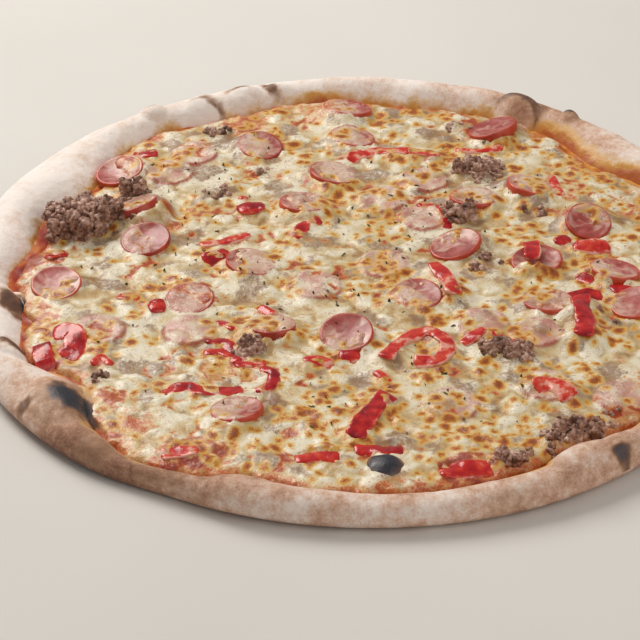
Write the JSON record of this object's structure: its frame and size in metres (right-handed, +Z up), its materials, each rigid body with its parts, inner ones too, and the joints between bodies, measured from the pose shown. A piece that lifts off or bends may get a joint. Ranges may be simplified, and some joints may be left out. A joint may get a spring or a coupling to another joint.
{
  "type": "sausage and pepper pizza",
  "caption": "Large round pizza: thin base with a puffed floury rim, tomato sauce and melted cheese, topped with sausage slices, red pepper strips and minced beef.",
  "frame": {"origin": "centre of the flat underside, on the surface that the pizza lies on", "axes": "+Z up out of the toppings; -Y is the side nearest to the viewer in the picture, +X is to the viewer's right"},
  "size_m": [0.3584, 0.3626, 0.0242],
  "materials": {
    "baked_dough": "dry baked dough dusted with flour, charred on its bubbles",
    "tomato_sauce": "oily cooked tomato sauce",
    "melted_mozzarella": "melted cheese, creamy with golden brown spots",
    "frankfurter": "moist pink sausage meat with a red skin",
    "red_pepper": "wet glossy red pepper",
    "minced_beef": "browned crumbled beef with a little fat"
  },
  "bodies": {
    "root": {"crust": "baked_dough", "mince_01": "minced_beef", "mince_02": "minced_beef", "mince_03": "minced_beef", "mince_04": "minced_beef", "mince_05": "minced_beef", "mince_06": "minced_beef", "mince_07": "minced_beef", "mince_08": "minced_beef", "mozzarella": "melted_mozzarella", "pepper_01": "red_pepper", "pepper_02": "red_pepper", "pepper_03": "red_pepper", "pepper_04": "red_pepper", "pepper_05": "red_pepper", "pepper_06": "red_pepper", "pepper_07": "red_pepper", "pepper_08": "red_pepper", "pepper_09": "red_pepper", "pepper_10": "red_pepper", "pepper_11": "red_pepper", "pepper_12": "red_pepper", "pepper_13": "red_pepper", "pepper_14": "red_pepper", "pepper_15": "red_pepper", "pepper_16": "red_pepper", "pepper_17": "red_pepper", "pepper_18": "red_pepper", "pepper_19": "red_pepper", "sausage_01": "frankfurter", "sausage_02": "frankfurter", "sausage_03": "frankfurter", "sausage_04": "frankfurter", "sausage_05": "frankfurter", "sausage_06": "frankfurter", "sausage_07": "frankfurter", "sausage_08": "frankfurter", "sausage_09": "frankfurter", "sausage_10": "frankfurter", "sausage_11": "frankfurter", "sausage_12": "frankfurter", "sausage_13": "frankfurter", "sausage_14": "frankfurter", "sausage_15": "frankfurter", "sausage_16": "frankfurter", "sausage_17": "frankfurter", "sausage_18": "frankfurter", "sausage_19": "frankfurter", "sausage_20": "frankfurter", "sausage_21": "frankfurter", "sausage_22": "frankfurter", "sausage_23": "frankfurter", "sausage_24": "frankfurter", "tomato_sauce": "tomato_sauce"}
  },
  "joints": []
}
